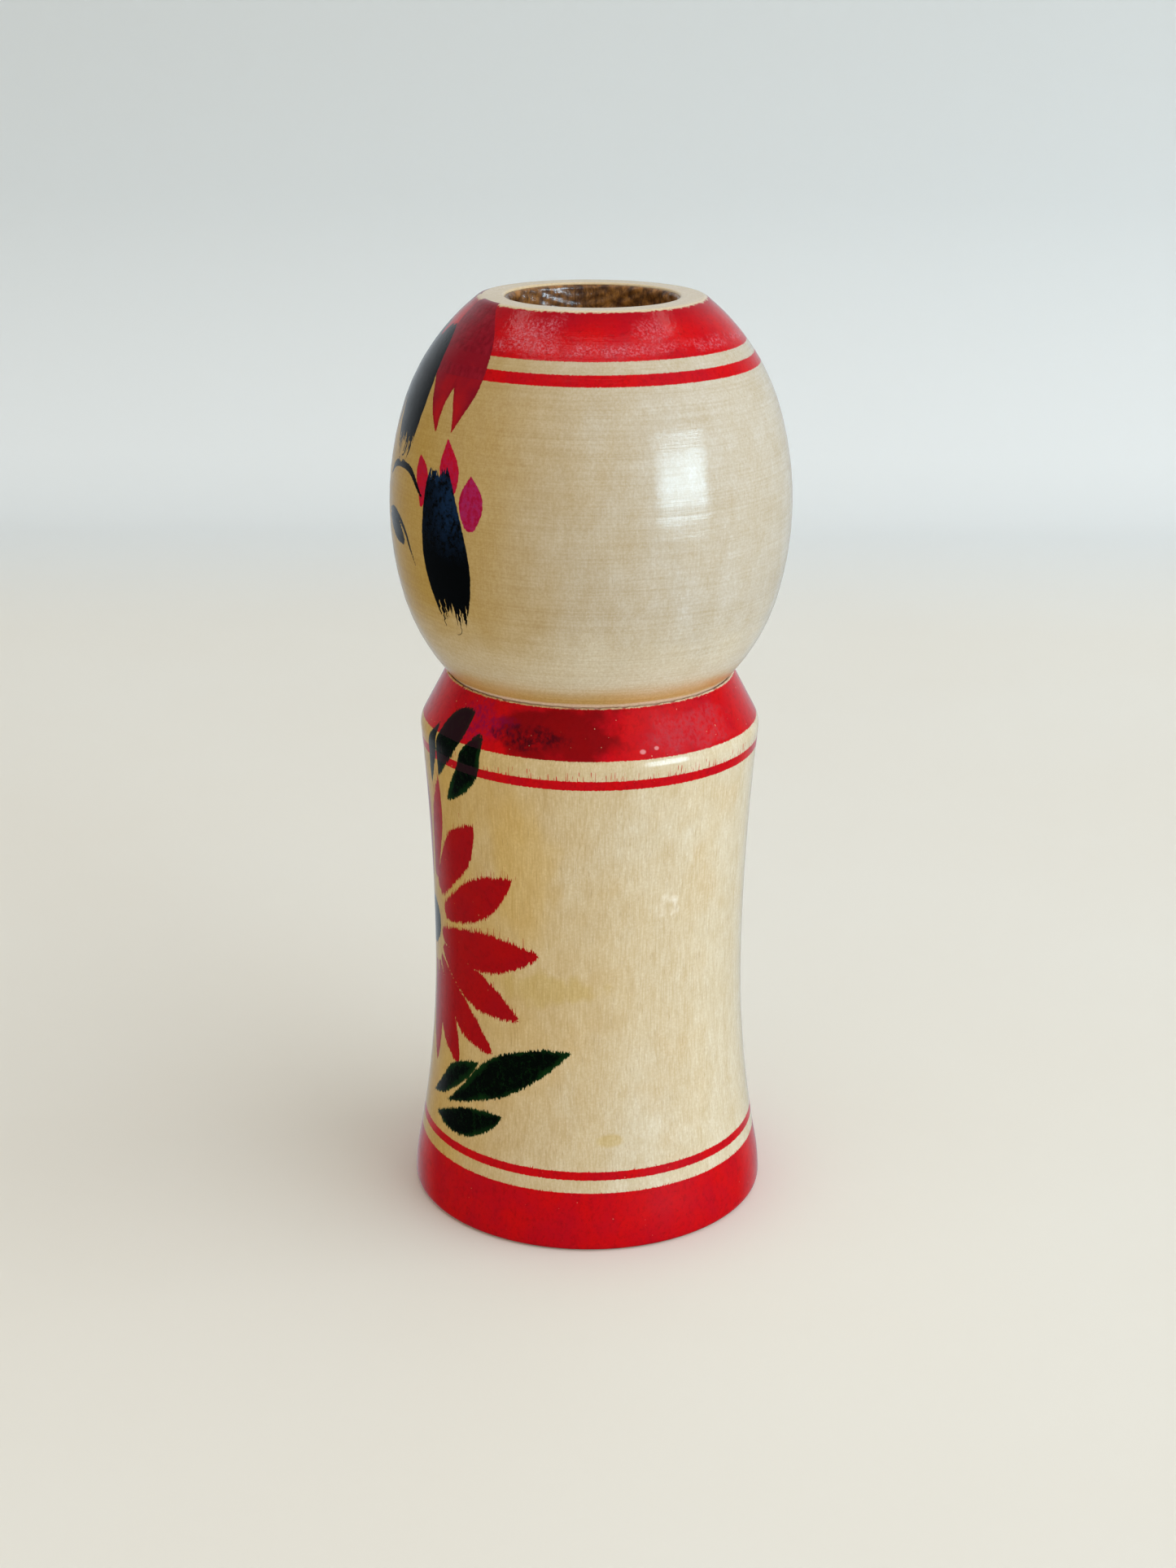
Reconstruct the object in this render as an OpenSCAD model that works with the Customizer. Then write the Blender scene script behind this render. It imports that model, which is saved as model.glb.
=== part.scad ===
// Lathe-turned wooden doll with a bored head: a trunk, a head that turns in it, and the coat that seals the head's well.
// Origin at the centre of the base on the standing surface, Z up, face toward -Y. Millimetres.

/* [Body] */
// Radius of the waist, the thinnest place of the trunk
waist_r = 23.9; // [20:0.1:25]
// Height of the waist
waist_z = 39; // [30:1:50]
// Radius of the hollow arc that spreads from the waist to the foot
flare_arc = 176.5; // [120:0.5:260]
// Height at which the hollow turns into the rounded foot
foot_z = 5.8; // [3:0.1:9]
// Radius of the arc that rounds the foot
foot_arc = 27.7; // [24:0.1:40]
// Radius of the shoulder corner
shoulder_r = 25.7; // [25.2:0.1:30]
// Height of the shoulder corner
shoulder_z = 76.7; // [70:0.1:80]
// Radius of the edge where the shoulder stops against the head
neck_r = 21.6; // [21.4:0.1:23]
// Height of that edge
neck_z = 84.5; // [82.5:0.1:85.5]
// Width of the flat left on top of that edge
neck_land = 0.2; // [0.1:0.05:0.3]
// Edges broken with sandpaper
edge_break = 0.8; // [0.2:0.1:1.5]

/* [Head] */
// Total height of the doll
total_h = 140; // [136:0.5:144]
// Largest radius of the head
head_r = 29.7; // [28:0.1:32]
// Height of the largest radius
cheek_z = 109.5; // [106:0.5:112]
// Radius of the arc over the cheeks
side_arc = 49; // [42:1:60]
// Radius of the arc over the crown
crown_arc = 32; // [28:1:36]
// Rise from the cheeks to where the crown arc starts
crown_rise = 14.5; // [10:0.5:18]
// Radius of the arc under the jaw
jaw_arc = 30; // [28:1:34]
// Drop from the cheeks to where the jaw arc starts
jaw_drop = 12.5; // [9:0.5:15]

/* [Well in the head] */
// Radius of the well inside its coat
well_r = 12.2; // [8:0.1:14]
// Depth of the well from the rim
well_depth = 48; // [20:1:50]
// Thickness of the brown coat
coat_t = 0.4; // [0.2:0.1:1]
// Step from the rim down to where the coat starts
coat_step = 0.3; // [0.1:0.1:1]

/* [Neck joint] */
// Depth of the recess in which the head sits
seat_depth = 2; // [1:0.1:3]
// Radius of the tenon under the head
tenon_r = 9; // [6:0.5:11]
// Length of the tenon below the seat
tenon_l = 16; // [12:1:20]
// Running clearance between tenon and mortise, on the radius
running_gap = 0.05; // [0.02:0.01:0.1]
// How far the retaining bead stands out from the tenon
bead_h = 0.7; // [0.4:0.1:1]
// Bottom of the mortise, below the end of the tenon
mortise_spare = 2.5; // [1:0.5:5]

/* [Hidden] */
$fn = 240;

// Surface of the recess floor, on which the flat under the head slides
seat_z = neck_z - seat_depth;
// The recess opens upward, so that the head touches only its floor
recess_mouth_r = neck_r - neck_land;
recess_floor_r = recess_mouth_r - 1.6;

// The foot's arc runs on from the flare without a corner
flare_centre = [waist_r + flare_arc, waist_z];
flare_turn = asin((waist_z - foot_z) / flare_arc);
foot_centre = flare_centre - (flare_arc + foot_arc) * [cos(flare_turn), sin(flare_turn)];
base_r = foot_centre[0] + sqrt(pow(foot_arc, 2) - pow(foot_centre[1], 2));

// Hollow arc through the waist and the shoulder corner
chest_rise = shoulder_z - waist_z;
chest_arc = (pow(chest_rise, 2) + pow(shoulder_r - waist_r, 2)) / (2 * (shoulder_r - waist_r));

// Radius of the uncut block, and the height at which the straight shoulder line would reach it
block_r = base_r + 10;
shoulder_line_z = neck_z - (block_r - neck_r) * (neck_z - shoulder_z) / (shoulder_r - neck_r);

// Centres of the head's three arcs, which run into each other without a corner
side_centre = [head_r - side_arc, cheek_z];
crown_turn = asin(crown_rise / side_arc);
crown_centre = side_centre + (side_arc - crown_arc) * [cos(crown_turn), sin(crown_turn)];
jaw_turn = asin(jaw_drop / side_arc);
jaw_centre = side_centre + (side_arc - jaw_arc) * [cos(jaw_turn), -sin(jaw_turn)];

// Radius of the crown arc at the rim
rim_r = crown_centre[0] + sqrt(pow(crown_arc, 2) - pow(total_h - crown_centre[1], 2));

well_floor_z = total_h - well_depth;
bore_r = well_r + coat_t;
bore_floor_z = well_floor_z - coat_t;

// The bead sits half way down the tenon, in a groove that leaves it free to turn but not to lift
bead_z = seat_z - tenon_l / 2;
bead_half = 1.6;
bead_play = 0.25;
mortise_r = tenon_r + running_gap;
mortise_floor_z = seat_z - tenon_l - mortise_spare;

wood = "BurlyWood";
pale_wood = "Wheat";
coat_brown = "SaddleBrown";

// Solid between two heights, bounded outward by an arc that bulges
module bulging_band(centre, arc_r, z0, z1) {
    intersection() {
        translate(centre) circle(r = arc_r);
        translate([0, z0]) square([centre[0] + arc_r + 1, z1 - z0]);
    }
}

// Solid between two heights, bounded outward by an arc that is hollowed to the waist
module hollowed_band(arc_r, z0, z1) {
    difference() {
        translate([0, z0]) square([block_r, z1 - z0]);
        translate([waist_r + arc_r, waist_z]) circle(r = arc_r);
    }
}

// Corner cut off an edge at [r, z], leaning on both faces by the edge break
module broken_edge(r, z, size, up) {
    polygon([[r - size, z], [r + 1, z - up * size - up], [r + 1, z]]);
}

module trunk_outline() {
    difference() {
        intersection() {
            union() {
                bulging_band(foot_centre, foot_arc, 0, foot_z);
                hollowed_band(flare_arc, foot_z, waist_z);
                hollowed_band(chest_arc, waist_z, neck_z);
            }
            polygon([[0, 0], [block_r, 0], [block_r, shoulder_line_z], [neck_r, neck_z], [0, neck_z]]);
        }
        broken_edge(base_r, 0, edge_break, -1);
    }
}

module mortise_outline() {
    translate([0, mortise_floor_z]) square([mortise_r, seat_z - mortise_floor_z + 1]);
    groove_half = bead_half + bead_play;
    translate([0, bead_z - groove_half]) square([tenon_r + bead_h + 0.3, 2 * groove_half]);
    polygon([
        [0, seat_z],
        [recess_floor_r, seat_z],
        [recess_mouth_r, neck_z],
        [recess_mouth_r, neck_z + 1],
        [0, neck_z + 1],
    ]);
}

module head_outline() {
    bulging_band(jaw_centre, jaw_arc, seat_z, cheek_z - jaw_drop);
    bulging_band(side_centre, side_arc, cheek_z - jaw_drop, cheek_z + crown_rise);
    bulging_band(crown_centre, crown_arc, cheek_z + crown_rise, total_h);
}

module tenon_outline() {
    tip = 1;
    root = 2;
    polygon([
        [0, seat_z + root],
        [tenon_r, seat_z + root],
        [tenon_r, bead_z + bead_half],
        [tenon_r + bead_h, bead_z + bead_half / 2],
        [tenon_r + bead_h, bead_z - bead_half / 2],
        [tenon_r, bead_z - bead_half],
        [tenon_r, seat_z - tenon_l + tip],
        [tenon_r - tip, seat_z - tenon_l],
        [0, seat_z - tenon_l],
    ]);
}

// Trunk turned from one block, with the mortise that holds the head
module body() {
    color(wood) rotate_extrude() difference() {
        trunk_outline();
        mortise_outline();
    }
}

// Head turned from one block with its tenon, and bored from the crown
module head() {
    color(pale_wood) {
        rotate_extrude() difference() {
            head_outline();
            translate([0, bore_floor_z]) square([bore_r, well_depth + coat_t + 1]);
            broken_edge(rim_r, total_h, edge_break / 2, 1);
        }
        rotate_extrude() tenon_outline();
    }
}

// Brown coat that seals the floor and the wall of the well
module well_coat() {
    color(coat_brown) rotate_extrude() difference() {
        translate([0, bore_floor_z]) square([bore_r, total_h - coat_step - bore_floor_z]);
        translate([0, well_floor_z]) square([well_r, well_depth + 1]);
    }
}

body();
head();
well_coat();
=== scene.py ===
"""Looks for a turned wooden doll: a fine lathe mesh for each turned piece, with the brushed dye stored on the
mesh as distances to the strokes' edges, and wood, dye, wax and lacquer made by nodes."""

import math

import bpy
import numpy as np
from mathutils import Matrix, Vector


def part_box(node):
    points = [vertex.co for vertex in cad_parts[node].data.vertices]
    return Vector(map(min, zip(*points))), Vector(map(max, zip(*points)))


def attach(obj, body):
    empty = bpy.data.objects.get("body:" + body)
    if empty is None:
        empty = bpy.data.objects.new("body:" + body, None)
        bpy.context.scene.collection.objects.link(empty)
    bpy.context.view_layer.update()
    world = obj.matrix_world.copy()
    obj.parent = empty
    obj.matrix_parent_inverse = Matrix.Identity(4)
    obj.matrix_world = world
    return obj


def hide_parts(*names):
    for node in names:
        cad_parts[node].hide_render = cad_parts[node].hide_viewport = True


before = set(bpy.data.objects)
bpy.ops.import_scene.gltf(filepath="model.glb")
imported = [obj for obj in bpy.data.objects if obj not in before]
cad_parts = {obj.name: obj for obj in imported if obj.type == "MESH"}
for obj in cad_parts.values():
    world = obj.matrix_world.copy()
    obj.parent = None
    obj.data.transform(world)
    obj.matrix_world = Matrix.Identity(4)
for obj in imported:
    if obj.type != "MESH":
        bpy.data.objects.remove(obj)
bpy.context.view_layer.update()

MM = 0.001
rng = np.random.default_rng(7)

# ---------------------------------------------------------------- sizes in millimetres, as in the pack

_, body_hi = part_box("body")
head_lo, head_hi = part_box("head")
coat_lo, coat_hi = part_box("well_coat")

TOP_Z = head_hi.z / MM
HEAD_R = head_hi.x / MM
NECK_Z = body_hi.z / MM
TENON_END_Z = head_lo.z / MM
BORE_R = coat_hi.x / MM
BORE_FLOOR_Z = coat_lo.z / MM
COAT_TOP_Z = coat_hi.z / MM

BASE_R = body_hi.x / MM
WAIST_R = 23.9
WAIST_Z = 39.0
FLARE_ARC = 176.5
FOOT_Z = 5.8
FOOT_ARC = 27.7
SHOULDER_R = 25.7
SHOULDER_Z = 76.7
NECK_R = 21.6
NECK_LAND = 0.2
SEAT_Z = NECK_Z - 2.0
RECESS_R = NECK_R - NECK_LAND - 1.6
MORTISE_R = 9.05
GROOVE_R = 10.0
GROOVE_Z = (72.65, 76.35)
MORTISE_FLOOR_Z = 64.0

CHEEK_Z = 109.5
SIDE_ARC = 49.0
CROWN_ARC = 32.0
CROWN_RISE = 14.5
JAW_ARC = 30.0
JAW_DROP = 12.5
TENON_R = 9.0
BEAD_R = 9.7
BEAD_Z = 74.5
COAT_T = 0.4

FLARE_TURN = math.asin((WAIST_Z - FOOT_Z) / FLARE_ARC)
FOOT_CENTRE_R = WAIST_R + FLARE_ARC - (FLARE_ARC + FOOT_ARC) * math.cos(FLARE_TURN)
FOOT_CENTRE_Z = WAIST_Z - (FLARE_ARC + FOOT_ARC) * math.sin(FLARE_TURN)
CHEST_RISE = SHOULDER_Z - WAIST_Z
CHEST_ARC = (CHEST_RISE**2 + (SHOULDER_R - WAIST_R) ** 2) / (2 * (SHOULDER_R - WAIST_R))

# The doll's angles are in degrees from its face (-Y) toward its left hand (+X). The camera stands at this.
CAMERA_TURN = 82.0


# ---------------------------------------------------------------- outlines of the turned pieces


def arc_centre(rise, arc):
    """Centre of an arc that runs on smoothly from the head's side arc."""
    turn = math.asin(rise / SIDE_ARC)
    inward = SIDE_ARC - arc
    return (HEAD_R - SIDE_ARC + inward * math.cos(turn), CHEEK_Z + inward * math.sin(turn))


def head_radius(z):
    crown_r, crown_z = arc_centre(CROWN_RISE, CROWN_ARC)
    jaw_r, jaw_z = arc_centre(-JAW_DROP, JAW_ARC)
    side = HEAD_R - SIDE_ARC + np.sqrt(np.maximum(SIDE_ARC**2 - (z - CHEEK_Z) ** 2, 0))
    crown = crown_r + np.sqrt(np.maximum(CROWN_ARC**2 - (z - crown_z) ** 2, 0))
    jaw = jaw_r + np.sqrt(np.maximum(JAW_ARC**2 - (z - jaw_z) ** 2, 0))
    return np.where(z > CHEEK_Z + CROWN_RISE, crown, np.where(z < CHEEK_Z - JAW_DROP, jaw, side))


def body_radius(z):
    arc = np.where(z < WAIST_Z, FLARE_ARC, CHEST_ARC)
    side = WAIST_R + arc - np.sqrt(arc**2 - (z - WAIST_Z) ** 2)
    foot = FOOT_CENTRE_R + np.sqrt(np.maximum(FOOT_ARC**2 - (z - FOOT_CENTRE_Z) ** 2, 0))
    side = np.where(z < FOOT_Z, foot, side)
    slope = (NECK_R - SHOULDER_R) / (NECK_Z - SHOULDER_Z)
    return np.where(z > SHOULDER_Z, SHOULDER_R + slope * (z - SHOULDER_Z), side)


def curve(radius, z0, z1, step):
    """Points [r, z] up or down a turned surface, about one step apart."""
    z = np.linspace(z0, z1, max(2, round(abs(z1 - z0) / step) + 1))
    return list(zip(radius(z), z))


def rounding(before, corner, after, steps):
    """Points that round a corner, without the two ends."""
    before, corner, after = map(np.array, (before, corner, after))
    return [tuple((1 - t) ** 2 * before + 2 * t * (1 - t) * corner + t * t * after)
            for t in (np.arange(1, steps) / steps)]


def body_outline():
    edge = 0.9
    foot = (body_radius(np.array(edge)), edge)
    below = (body_radius(np.array(SHOULDER_Z - edge)), SHOULDER_Z - edge)
    above = (body_radius(np.array(SHOULDER_Z + edge)), SHOULDER_Z + edge)
    rim = [(r, 0.0) for r in np.linspace(0, BASE_R - 1.1, 12)]
    points = rim + rounding(rim[-1], (BASE_R - 0.1, 0), foot, 5)
    points += curve(body_radius, edge, SHOULDER_Z - edge, 0.42)
    points += rounding(below, (SHOULDER_R, SHOULDER_Z), above, 6)
    points += curve(body_radius, SHOULDER_Z + edge, NECK_Z - 0.7, 0.36)
    points += curve(body_radius, NECK_Z - 0.6, NECK_Z, 0.15)
    groove_low, groove_high = GROOVE_Z
    points += [(NECK_R - NECK_LAND, NECK_Z), (NECK_R - 0.6, NECK_Z - 0.5)]
    points += [(RECESS_R, SEAT_Z), (MORTISE_R, SEAT_Z)]
    points += [(MORTISE_R, groove_high), (GROOVE_R, groove_high)]
    points += [(GROOVE_R, groove_low), (MORTISE_R, groove_low)]
    return points + [(MORTISE_R, MORTISE_FLOOR_Z), (0.0, MORTISE_FLOOR_Z)]


def head_outline():
    rim_r = float(head_radius(np.array(TOP_Z)))
    edge = 0.45
    side = (head_radius(np.array(TOP_Z - edge)), TOP_Z - edge)
    points = [(0.0, TENON_END_Z), (TENON_R - 1, TENON_END_Z), (TENON_R, TENON_END_Z + 1)]
    points += [(TENON_R, BEAD_Z - 1.6), (BEAD_R, BEAD_Z - 0.8)]
    points += [(BEAD_R, BEAD_Z + 0.8), (TENON_R, BEAD_Z + 1.6), (TENON_R, SEAT_Z)]
    points += curve(head_radius, SEAT_Z, TOP_Z - edge, 0.36)
    points += rounding(side, (rim_r, TOP_Z), (rim_r - edge, TOP_Z), 4)
    points += [(r, TOP_Z) for r in np.linspace(rim_r - edge, BORE_R + edge, 5)]
    points += rounding((BORE_R + edge, TOP_Z), (BORE_R, TOP_Z), (BORE_R, TOP_Z - edge), 4)
    points += [(BORE_R, TOP_Z - edge), (BORE_R, BORE_FLOOR_Z), (0.0, BORE_FLOOR_Z)]
    return points


def coat_outline():
    inner = BORE_R - COAT_T
    floor = BORE_FLOOR_Z + COAT_T
    points = [(0.0, BORE_FLOOR_Z), (BORE_R, BORE_FLOOR_Z), (BORE_R, COAT_TOP_Z)]
    points += rounding((BORE_R, COAT_TOP_Z), (inner, COAT_TOP_Z), (inner, COAT_TOP_Z - 0.6), 4)
    visible_depth = 18
    points += [(inner, z) for z in np.arange(COAT_TOP_Z - 0.6, COAT_TOP_Z - visible_depth, -0.35)]
    points += [(inner, z) for z in np.arange(COAT_TOP_Z - visible_depth, floor + 1.5, -1.5)]
    points += rounding((inner, floor + 1.5), (inner, floor), (inner - 1.5, floor), 4)
    return points + [(r, floor) for r in np.arange(inner - 1.5, 0.5, -1.2)] + [(0.0, floor)]


# ---------------------------------------------------------------- lathe meshes


def columns(half_angle, fine, coarse):
    """Angles round a piece, closer together within half_angle of the face. Steps in degrees."""
    front = np.arange(-half_angle, half_angle, fine)
    back_count = round((360 - 2 * half_angle) / coarse)
    back = np.linspace(half_angle, 360 - half_angle, back_count, endpoint=False)
    return np.radians(np.concatenate([front, back]))


def lathe(name, outline, angles, relief):
    """Closed mesh turned from an outline that starts and ends on the axis. Relief takes angle, r and z, and
    gives new r and z. Returns the piece and its vertices' angle, radius and height."""
    ring = np.array(outline[1:-1], float)
    angle = np.tile(angles, len(ring))
    r, z = np.repeat(ring[:, 0], len(angles)), np.repeat(ring[:, 1], len(angles))
    r, z = relief(angle, r, z)
    x, y = r * np.sin(angle), -r * np.cos(angle)
    ends = np.array([[0, 0, outline[0][1]], [0, 0, outline[-1][1]]])
    verts = np.concatenate([np.stack([x, y, z], 1), ends]) * MM

    count = len(angles)
    row = np.arange(count)
    after = (row + 1) % count
    quads = []
    for i in range(len(ring) - 1):
        low, high = i * count, (i + 1) * count
        quads.append(np.stack([low + row, low + after, high + after, high + row], 1))
    last = (len(ring) - 1) * count
    first_pole, last_pole = len(verts) - 2, len(verts) - 1
    caps = [(int(b), int(a), first_pole) for a, b in zip(row, after)]
    caps += [(int(last + a), int(last + b), last_pole) for a, b in zip(row, after)]
    mesh = bpy.data.meshes.new(name)
    mesh.from_pydata(verts.tolist(), [], np.concatenate(quads).tolist() + caps)
    mesh.polygons.foreach_set("use_smooth", [True] * len(mesh.polygons))
    mesh.update()
    piece = bpy.data.objects.new(name, mesh)
    bpy.context.scene.collection.objects.link(piece)
    angle, r, z = [np.append(a, [0.0, 0.0]) for a in (angle, r, z)]
    z[-2:] = outline[0][1], outline[-1][1]
    return piece, (np.mod(angle + math.pi, 2 * math.pi) - math.pi, r, z)


def ragged(angle, low, high, count, seed):
    """Uneven value from 0 to 1 round a ring, made of waves between two whole-number frequencies."""
    waves = np.random.default_rng(seed)
    total = sum(np.sin(angle * int(k) + p) for k, p in
                zip(waves.integers(low, high, count), waves.uniform(0, 6.28, count)))
    return np.clip(0.5 + total / (2.2 * math.sqrt(count)), 0, 1)


# ---------------------------------------------------------------- brush strokes


def smooth_path(points, samples=28):
    """Catmull-Rom curve through the points, each [angle, height, half width]."""
    p = np.array(points, float)
    p = np.concatenate([2 * p[:1] - p[1:2], p, 2 * p[-1:] - p[-2:-1]])
    at = np.linspace(0, len(points) - 1 - 1e-9, samples)
    i, t = at.astype(int), (at % 1)[:, None]
    a, b, c, d = p[i], p[i + 1], p[i + 2], p[i + 3]
    out = 0.5 * (2 * b + (c - a) * t + (2 * a - 5 * b + 4 * c - d) * t**2 + (3 * b - a - 3 * c + d) * t**3)
    out[:, 2] = np.maximum(out[:, 2], 0)
    return out


def mirrored(strokes):
    """The strokes and their mirror images on the other side of the face."""
    return strokes + [dict(s, path=[(-a, z, w) for a, z, w in s["path"]], side=-1) for s in strokes]


# In millimetres: the depth where no stroke is near, how far outside its edge a stroke is felt, a radius just
# under any painted one, and how far relief may take a painted vertex from the outline.
FAR = -40.0
REACH = 2.5
LEAST_R = 16
SKIN = 0.6

# Shifts the noise at a stroke's first end, so that its bristles don't part there as they do at its last end
END_SHIFT = 40


class Surface:
    """Where a piece's vertices are: angle in radians, radius, height and distance up the outline."""

    def __init__(self, piece, place, radius, z0, z1):
        self.piece = piece
        self.angle, self.r, self.z = place
        z = np.linspace(z0, z1, 600)
        up = np.concatenate([[0], np.cumsum(np.hypot(np.diff(z), np.diff(radius(z))))])
        self.to_up = lambda height: np.interp(height, z, up)
        self.up = self.to_up(self.z)
        outer = np.abs(self.r - radius(np.clip(self.z, z0, z1))) < SKIN
        self.outer = outer & (self.z >= z0 - 0.1) & (self.z <= z1 + 0.1)

    def paint(self, layer, strokes, bands=()):
        """Stores each vertex's nearest stroke in two attributes. The one named by the layer holds the depth
        inside its edge, the offset across it, and how far it is from its dry ends. The one that ends in _run
        holds how far its edge faces up the grain, from -1 to 1, the place along it, and its tone. A ring
        turned on the lathe has tone -1."""
        inside = np.full(len(self.z), FAR)
        facts = np.zeros((len(self.z), 5))
        facts[:, 1] = 1
        for z0, z1 in bands:
            depth = np.where(self.outer, np.minimum(self.z - z0, z1 - self.z), FAR)
            better = depth > inside
            inside[better] = depth[better]
            facts[better] = (0, 1, 1, 0.5, -1)
            facts[better, 2] = np.where(self.z[better] > (z0 + z1) / 2, 1, -1)
        for s in strokes:
            self.lay(s, inside, facts)
        mesh = self.piece.data
        first = mesh.attributes.new(layer, "FLOAT_VECTOR", "POINT")
        first.data.foreach_set("vector", np.stack([inside, facts[:, 0], facts[:, 1]], 1).ravel())
        second = mesh.attributes.new(layer + "_run", "FLOAT_VECTOR", "POINT")
        second.data.foreach_set("vector", facts[:, 2:].ravel())

    def lay(self, s, inside, facts):
        """Writes one stroke's distances and facts over those of the vertices that it is nearest to."""
        path = smooth_path(s["path"])
        angle, up, half = np.radians(path[:, 0]), self.to_up(path[:, 1]), path[:, 2]
        margin = half.max() + REACH
        turn = margin / LEAST_R
        near = self.outer & (self.up > up.min() - margin) & (self.up < up.max() + margin)
        near &= (self.angle > angle.min() - turn) & (self.angle < angle.max() + turn)
        k = np.where(near)[0]
        ax = self.r[k, None] * (angle[None] - self.angle[k, None])
        ay = up[None] - self.up[k, None]
        dx, dy = np.diff(ax, axis=1), np.diff(ay, axis=1)
        length2 = dx * dx + dy * dy + 1e-9
        t = np.clip(-(ax[:, :-1] * dx + ay[:, :-1] * dy) / length2, 0, 1)
        qx, qy = ax[:, :-1] + t * dx, ay[:, :-1] + t * dy
        gap = np.hypot(qx, qy)
        depth = half[:-1] + t * np.diff(half) - gap
        j = depth.argmax(1)
        pick = np.arange(len(k)), j
        across = np.sign(dx[pick] * -ay[pick] + dy[pick] * ax[pick]) * gap[pick]
        steps = np.sqrt(length2)
        start = np.concatenate([np.zeros((len(k), 1)), np.cumsum(steps, 1)], 1)
        along = start[pick] + t[pick] * steps[pick]
        total = start[:, -1]
        dry0, dry1 = s.get("dry", (0.01, 0.01))
        wet0 = np.clip(along / dry0, 0, 1)
        wet1 = np.clip((total - along) / dry1, 0, 1)
        lean = -qy[pick] / (gap[pick] + 0.02)
        across = across * s.get("side", 1) + np.where(wet0 < wet1, END_SHIFT, 0)
        tone = np.full(len(k), s.get("tone", 0))
        new = np.stack([across, np.minimum(wet0, wet1), lean, along / total, tone], 1)
        better = depth[pick] > inside[k]
        inside[k[better]] = depth[pick][better]
        facts[k[better]] = new[better]


def petal(tip, start, fat, bow=0.0, root=0.5):
    """One press of a loaded brush, from near the flower's middle out to a point. Bow lifts its middle. Root
    is how wide it starts, as a share of its greatest half width."""
    (a0, z0), (a1, z1) = start, tip
    path = []
    for t, w in ((0, root), (0.28, 0.84), (0.56, 1.0), (0.84, 0.5), (1, 0.01)):
        lift = bow * math.sin(math.pi * t)
        path.append((a0 + (a1 - a0) * t, z0 + (z1 - z0) * t + lift, fat * w))
    return {"path": path}


# Each point of a stroke: angle from the face in degrees, height in mm, half width in mm. Angles and heights
# are set to the nearest half. Dry says how many mm of each end are dry. Tone makes red more magenta, and ink
# bluer.
RIBBONS = mirrored([
    {"path": [(25, 139.5, 1.2), (33.5, 135, 3), (38, 130.5, 2.6), (38, 126, 0.9), (37, 123.5, 0)]},
    {"path": [(15, 139, 2.4), (21, 135, 3.3), (26.5, 131, 2.8), (28, 127, 1.4), (30.5, 123, 0)]},
])
HAIR_PETALS = mirrored([
    {"path": [(25, 120, 0), (27, 117.5, 1.4), (28.5, 115, 1.3), (28, 113, 0.3)], "tone": 0.3},
    {"path": [(36.5, 123, 0), (38.5, 119, 1.8), (39.5, 117, 1.5), (40, 115, 0.5)], "tone": 0.45},
    {"path": [(47, 118.5, 0), (47.5, 115.5, 1.8), (47.5, 114, 2), (47.5, 112, 1.2)], "tone": 1},
])
LIPS = [{"path": [(-3.5, 98.5, 0.1), (-1.5, 99, 0.5), (0, 98.5, 0.5), (1.5, 99, 0.5), (3.5, 98.5, 0.1)],
         "tone": 0.2}]
SIDELOCK = {
    "path": [(34.5, 119, 1.5), (35.5, 115, 3.1), (37.5, 107.5, 4.6), (38.5, 102.5, 4.2), (38.5, 96, 2)],
    "dry": (2.5, 5), "tone": 1}
FORELOCK = {"path": [(6.5, 136.5, 0.8), (8.5, 133, 3.4), (11, 127, 4.5), (12.5, 121, 2.9), (12, 119, 1.2)],
            "dry": (0.5, 4)}
MID_FORELOCK = {"path": [(0, 135, 0.4), (0, 130, 0.8), (0, 120, 0.4)], "dry": (0.5, 4)}
BROW = {"path": [(3, 115, 0.15), (8, 117, 0.5), (14.5, 117.5, 0.5), (21, 117, 0.5), (28, 114, 0.2)]}
EYE = {"path": [(4.5, 109.5, 0.5), (7.5, 109, 1.4), (12, 108, 1.7), (17.5, 106.5, 0.5)], "tone": 0.5}
LID = {"path": [(3, 110, 0.1), (10, 110.5, 0.4), (18, 108.5, 0.35), (24, 103.5, 0.1)]}
NOSE = {"path": [(2.5, 105.5, 0.1), (3, 103.5, 0.25), (1.5, 102.5, 0.25), (0, 102.5, 0.1)]}
BLACK = mirrored([SIDELOCK, FORELOCK, BROW, EYE, LID, NOSE]) + [MID_FORELOCK]

FLOWER = [petal((0, 71.5), (0, 53.5), 2.5)] + mirrored([
    petal((18.5, 70.5), (9, 54), 2.0),
    petal((38.5, 65), (15, 53), 3.1, root=0.6),
    petal((54.5, 58), (20, 49), 3.0, bow=-0.5, root=0.5),
    petal((64.5, 46.5), (16, 44.5), 3.1, bow=-0.5, root=0.4),
    petal((56.5, 35.5), (15.5, 42), 2.9, root=0.3),
    petal((45.5, 29), (12.5, 40), 2.4, bow=-1, root=0.3),
    petal((28, 25), (9, 38.5), 2.6, bow=-1, root=0.3),
    petal((10, 22.5), (4, 38), 2.3, root=0.3),
])
LEAVES = mirrored([
    {"path": [(18, 79, 0), (16, 75.5, 1.4), (13, 71, 0.7), (12, 68.5, 0)]},
    {"path": [(35.5, 82, 0), (30.5, 80.5, 1.9), (27, 78, 2.7), (23, 74.5, 1.6), (19, 70.5, 0)]},
    {"path": [(41, 78.5, 0.9), (39, 76, 2), (36, 73, 2), (30, 70, 1.3), (25, 68, 0.2)]},
    {"path": [(10, 17.5, 0), (18.5, 20, 1.2), (26, 23, 1.7), (33, 25, 1.2), (39.5, 27, 0)]},
    {"path": [(22, 18, 0), (33, 21, 1.3), (48, 25.5, 3), (63, 29, 2.2), (76.5, 31.5, 0)]},
    {"path": [(15, 15, 0), (25, 15.5, 1.5), (34.5, 16.5, 2.2), (44, 18, 1.5), (51, 19.5, 0)]},
])
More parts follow.
